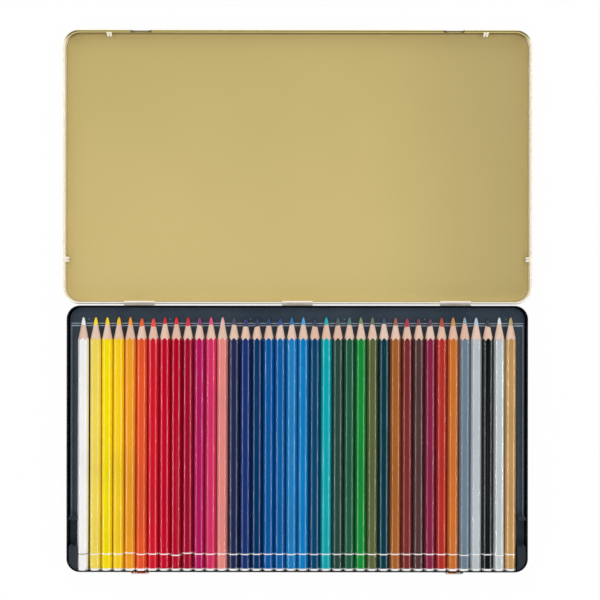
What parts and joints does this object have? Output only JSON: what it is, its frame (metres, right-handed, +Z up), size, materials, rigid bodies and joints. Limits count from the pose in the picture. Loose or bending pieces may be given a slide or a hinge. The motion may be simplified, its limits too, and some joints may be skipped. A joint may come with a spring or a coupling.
{
  "type": "pencil tin",
  "caption": "Flat hinged tin lying open with its lid turned right back, colored pencils side by side in a ribbed plastic tray.",
  "frame": {"origin": "middle of the open tin's outer box, on the table it lies on", "axes": "+Z up, +X to the right with the pencil points away from the viewer, +Y from the base towards the opened lid"},
  "size_m": [0.325, 0.3758, 0.0122],
  "materials": {
    "base_lacquer": "gloss dark lacquer on tinplate",
    "lid_lacquer": "satin gold lacquer on tinplate",
    "tray_plastic": "satin thermoformed plastic",
    "white_lacquer": "gloss lacquer over a wooden casing",
    "pale_yellow_lacquer": "gloss lacquer over a wooden casing",
    "bright_yellow_lacquer": "gloss lacquer over a wooden casing",
    "golden_yellow_lacquer": "gloss lacquer over a wooden casing",
    "orange_yellow_lacquer": "gloss lacquer over a wooden casing",
    "orange_lacquer": "gloss lacquer over a wooden casing",
    "light_red_lacquer": "gloss lacquer over a wooden casing",
    "carmine_lacquer": "gloss lacquer over a wooden casing",
    "dark_red_lacquer": "gloss lacquer over a wooden casing",
    "crimson_lacquer": "gloss lacquer over a wooden casing",
    "magenta_lacquer": "gloss lacquer over a wooden casing",
    "pink_lacquer": "gloss lacquer over a wooden casing",
    "salmon_lacquer": "gloss lacquer over a wooden casing",
    "dark_violet_lacquer": "gloss lacquer over a wooden casing",
    "indigo_lacquer": "gloss lacquer over a wooden casing",
    "dark_blue_lacquer": "gloss lacquer over a wooden casing",
    "blue_lacquer": "gloss lacquer over a wooden casing",
    "mid_blue_lacquer": "gloss lacquer over a wooden casing",
    "light_cobalt_lacquer": "gloss lacquer over a wooden casing",
    "sky_blue_lacquer": "gloss lacquer over a wooden casing",
    "petrol_blue_lacquer": "gloss lacquer over a wooden casing",
    "turquoise_lacquer": "gloss lacquer over a wooden casing",
    "grey_green_lacquer": "gloss lacquer over a wooden casing",
    "green_lacquer": "gloss lacquer over a wooden casing",
    "bright_green_lacquer": "gloss lacquer over a wooden casing",
    "olive_lacquer": "gloss lacquer over a wooden casing",
    "deep_petrol_lacquer": "gloss lacquer over a wooden casing",
    "brown_ochre_lacquer": "gloss lacquer over a wooden casing",
    "red_brown_lacquer": "gloss lacquer over a wooden casing",
    "dark_brown_lacquer": "gloss lacquer over a wooden casing",
    "wine_lacquer": "gloss lacquer over a wooden casing",
    "rust_red_lacquer": "gloss lacquer over a wooden casing",
    "orange_ochre_lacquer": "gloss lacquer over a wooden casing",
    "blue_grey_lacquer": "gloss lacquer over a wooden casing",
    "light_grey_lacquer": "gloss lacquer over a wooden casing",
    "black_lacquer": "gloss lacquer over a wooden casing",
    "silver_lacquer": "gloss lacquer over a wooden casing",
    "gold_lacquer": "gloss lacquer over a wooden casing"
  },
  "bodies": {
    "tin": {"base_tin": "base_lacquer", "pencil_tray": "tray_plastic"},
    "lid": {"lid": "lid_lacquer"},
    "pencil_01_white": {"pencil_01_white": "white_lacquer"},
    "pencil_02_pale_yellow": {"pencil_02_pale_yellow": "pale_yellow_lacquer"},
    "pencil_03_bright_yellow": {"pencil_03_bright_yellow": "bright_yellow_lacquer"},
    "pencil_04_golden_yellow": {"pencil_04_golden_yellow": "golden_yellow_lacquer"},
    "pencil_05_orange_yellow": {"pencil_05_orange_yellow": "orange_yellow_lacquer"},
    "pencil_06_orange": {"pencil_06_orange": "orange_lacquer"},
    "pencil_07_light_red": {"pencil_07_light_red": "light_red_lacquer"},
    "pencil_08_carmine": {"pencil_08_carmine": "carmine_lacquer"},
    "pencil_09_dark_red": {"pencil_09_dark_red": "dark_red_lacquer"},
    "pencil_10_crimson": {"pencil_10_crimson": "crimson_lacquer"},
    "pencil_11_magenta": {"pencil_11_magenta": "magenta_lacquer"},
    "pencil_12_pink": {"pencil_12_pink": "pink_lacquer"},
    "pencil_13_salmon": {"pencil_13_salmon": "salmon_lacquer"},
    "pencil_14_dark_violet": {"pencil_14_dark_violet": "dark_violet_lacquer"},
    "pencil_15_indigo": {"pencil_15_indigo": "indigo_lacquer"},
    "pencil_16_dark_blue": {"pencil_16_dark_blue": "dark_blue_lacquer"},
    "pencil_17_blue": {"pencil_17_blue": "blue_lacquer"},
    "pencil_18_mid_blue": {"pencil_18_mid_blue": "mid_blue_lacquer"},
    "pencil_19_light_cobalt": {"pencil_19_light_cobalt": "light_cobalt_lacquer"},
    "pencil_20_sky_blue": {"pencil_20_sky_blue": "sky_blue_lacquer"},
    "pencil_21_petrol_blue": {"pencil_21_petrol_blue": "petrol_blue_lacquer"},
    "pencil_22_turquoise": {"pencil_22_turquoise": "turquoise_lacquer"},
    "pencil_23_grey_green": {"pencil_23_grey_green": "grey_green_lacquer"},
    "pencil_24_green": {"pencil_24_green": "green_lacquer"},
    "pencil_25_bright_green": {"pencil_25_bright_green": "bright_green_lacquer"},
    "pencil_26_olive": {"pencil_26_olive": "olive_lacquer"},
    "pencil_27_deep_petrol": {"pencil_27_deep_petrol": "deep_petrol_lacquer"},
    "pencil_28_brown_ochre": {"pencil_28_brown_ochre": "brown_ochre_lacquer"},
    "pencil_29_red_brown": {"pencil_29_red_brown": "red_brown_lacquer"},
    "pencil_30_dark_brown": {"pencil_30_dark_brown": "dark_brown_lacquer"},
    "pencil_31_wine": {"pencil_31_wine": "wine_lacquer"},
    "pencil_32_rust_red": {"pencil_32_rust_red": "rust_red_lacquer"},
    "pencil_33_orange_ochre": {"pencil_33_orange_ochre": "orange_ochre_lacquer"},
    "pencil_34_blue_grey": {"pencil_34_blue_grey": "blue_grey_lacquer"},
    "pencil_35_light_grey": {"pencil_35_light_grey": "light_grey_lacquer"},
    "pencil_36_black": {"pencil_36_black": "black_lacquer"},
    "pencil_37_silver": {"pencil_37_silver": "silver_lacquer"},
    "pencil_38_gold": {"pencil_38_gold": "gold_lacquer"}
  },
  "joints": [
    {"name": "lid_hinge", "type": "hinge", "parent": "tin", "child": "lid", "pos_m": [0, -0.0011, 0.008], "axis": [-1, 0, 0], "range_deg": [-180, 0]},
    {"name": "lift_pencil_01_white", "type": "slide", "parent": "tin", "child": "pencil_01_white", "axis": [0, 0, 1], "range_m": [0, 0.025]},
    {"name": "lift_pencil_02_pale_yellow", "type": "slide", "parent": "tin", "child": "pencil_02_pale_yellow", "axis": [0, 0, 1], "range_m": [0, 0.025]},
    {"name": "lift_pencil_03_bright_yellow", "type": "slide", "parent": "tin", "child": "pencil_03_bright_yellow", "axis": [0, 0, 1], "range_m": [0, 0.025]},
    {"name": "lift_pencil_04_golden_yellow", "type": "slide", "parent": "tin", "child": "pencil_04_golden_yellow", "axis": [0, 0, 1], "range_m": [0, 0.025]},
    {"name": "lift_pencil_05_orange_yellow", "type": "slide", "parent": "tin", "child": "pencil_05_orange_yellow", "axis": [0, 0, 1], "range_m": [0, 0.025]},
    {"name": "lift_pencil_06_orange", "type": "slide", "parent": "tin", "child": "pencil_06_orange", "axis": [0, 0, 1], "range_m": [0, 0.025]},
    {"name": "lift_pencil_07_light_red", "type": "slide", "parent": "tin", "child": "pencil_07_light_red", "axis": [0, 0, 1], "range_m": [0, 0.025]},
    {"name": "lift_pencil_08_carmine", "type": "slide", "parent": "tin", "child": "pencil_08_carmine", "axis": [0, 0, 1], "range_m": [0, 0.025]},
    {"name": "lift_pencil_09_dark_red", "type": "slide", "parent": "tin", "child": "pencil_09_dark_red", "axis": [0, 0, 1], "range_m": [0, 0.025]},
    {"name": "lift_pencil_10_crimson", "type": "slide", "parent": "tin", "child": "pencil_10_crimson", "axis": [0, 0, 1], "range_m": [0, 0.025]},
    {"name": "lift_pencil_11_magenta", "type": "slide", "parent": "tin", "child": "pencil_11_magenta", "axis": [0, 0, 1], "range_m": [0, 0.025]},
    {"name": "lift_pencil_12_pink", "type": "slide", "parent": "tin", "child": "pencil_12_pink", "axis": [0, 0, 1], "range_m": [0, 0.025]},
    {"name": "lift_pencil_13_salmon", "type": "slide", "parent": "tin", "child": "pencil_13_salmon", "axis": [0, 0, 1], "range_m": [0, 0.025]},
    {"name": "lift_pencil_14_dark_violet", "type": "slide", "parent": "tin", "child": "pencil_14_dark_violet", "axis": [0, 0, 1], "range_m": [0, 0.025]},
    {"name": "lift_pencil_15_indigo", "type": "slide", "parent": "tin", "child": "pencil_15_indigo", "axis": [0, 0, 1], "range_m": [0, 0.025]},
    {"name": "lift_pencil_16_dark_blue", "type": "slide", "parent": "tin", "child": "pencil_16_dark_blue", "axis": [0, 0, 1], "range_m": [0, 0.025]},
    {"name": "lift_pencil_17_blue", "type": "slide", "parent": "tin", "child": "pencil_17_blue", "axis": [0, 0, 1], "range_m": [0, 0.025]},
    {"name": "lift_pencil_18_mid_blue", "type": "slide", "parent": "tin", "child": "pencil_18_mid_blue", "axis": [0, 0, 1], "range_m": [0, 0.025]},
    {"name": "lift_pencil_19_light_cobalt", "type": "slide", "parent": "tin", "child": "pencil_19_light_cobalt", "axis": [0, 0, 1], "range_m": [0, 0.025]},
    {"name": "lift_pencil_20_sky_blue", "type": "slide", "parent": "tin", "child": "pencil_20_sky_blue", "axis": [0, 0, 1], "range_m": [0, 0.025]},
    {"name": "lift_pencil_21_petrol_blue", "type": "slide", "parent": "tin", "child": "pencil_21_petrol_blue", "axis": [0, 0, 1], "range_m": [0, 0.025]},
    {"name": "lift_pencil_22_turquoise", "type": "slide", "parent": "tin", "child": "pencil_22_turquoise", "axis": [0, 0, 1], "range_m": [0, 0.025]},
    {"name": "lift_pencil_23_grey_green", "type": "slide", "parent": "tin", "child": "pencil_23_grey_green", "axis": [0, 0, 1], "range_m": [0, 0.025]},
    {"name": "lift_pencil_24_green", "type": "slide", "parent": "tin", "child": "pencil_24_green", "axis": [0, 0, 1], "range_m": [0, 0.025]},
    {"name": "lift_pencil_25_bright_green", "type": "slide", "parent": "tin", "child": "pencil_25_bright_green", "axis": [0, 0, 1], "range_m": [0, 0.025]},
    {"name": "lift_pencil_26_olive", "type": "slide", "parent": "tin", "child": "pencil_26_olive", "axis": [0, 0, 1], "range_m": [0, 0.025]},
    {"name": "lift_pencil_27_deep_petrol", "type": "slide", "parent": "tin", "child": "pencil_27_deep_petrol", "axis": [0, 0, 1], "range_m": [0, 0.025]},
    {"name": "lift_pencil_28_brown_ochre", "type": "slide", "parent": "tin", "child": "pencil_28_brown_ochre", "axis": [0, 0, 1], "range_m": [0, 0.025]},
    {"name": "lift_pencil_29_red_brown", "type": "slide", "parent": "tin", "child": "pencil_29_red_brown", "axis": [0, 0, 1], "range_m": [0, 0.025]},
    {"name": "lift_pencil_30_dark_brown", "type": "slide", "parent": "tin", "child": "pencil_30_dark_brown", "axis": [0, 0, 1], "range_m": [0, 0.025]},
    {"name": "lift_pencil_31_wine", "type": "slide", "parent": "tin", "child": "pencil_31_wine", "axis": [0, 0, 1], "range_m": [0, 0.025]},
    {"name": "lift_pencil_32_rust_red", "type": "slide", "parent": "tin", "child": "pencil_32_rust_red", "axis": [0, 0, 1], "range_m": [0, 0.025]},
    {"name": "lift_pencil_33_orange_ochre", "type": "slide", "parent": "tin", "child": "pencil_33_orange_ochre", "axis": [0, 0, 1], "range_m": [0, 0.025]},
    {"name": "lift_pencil_34_blue_grey", "type": "slide", "parent": "tin", "child": "pencil_34_blue_grey", "axis": [0, 0, 1], "range_m": [0, 0.025]},
    {"name": "lift_pencil_35_light_grey", "type": "slide", "parent": "tin", "child": "pencil_35_light_grey", "axis": [0, 0, 1], "range_m": [0, 0.025]},
    {"name": "lift_pencil_36_black", "type": "slide", "parent": "tin", "child": "pencil_36_black", "axis": [0, 0, 1], "range_m": [0, 0.025]},
    {"name": "lift_pencil_37_silver", "type": "slide", "parent": "tin", "child": "pencil_37_silver", "axis": [0, 0, 1], "range_m": [0, 0.025]},
    {"name": "lift_pencil_38_gold", "type": "slide", "parent": "tin", "child": "pencil_38_gold", "axis": [0, 0, 1], "range_m": [0, 0.025]}
  ]
}
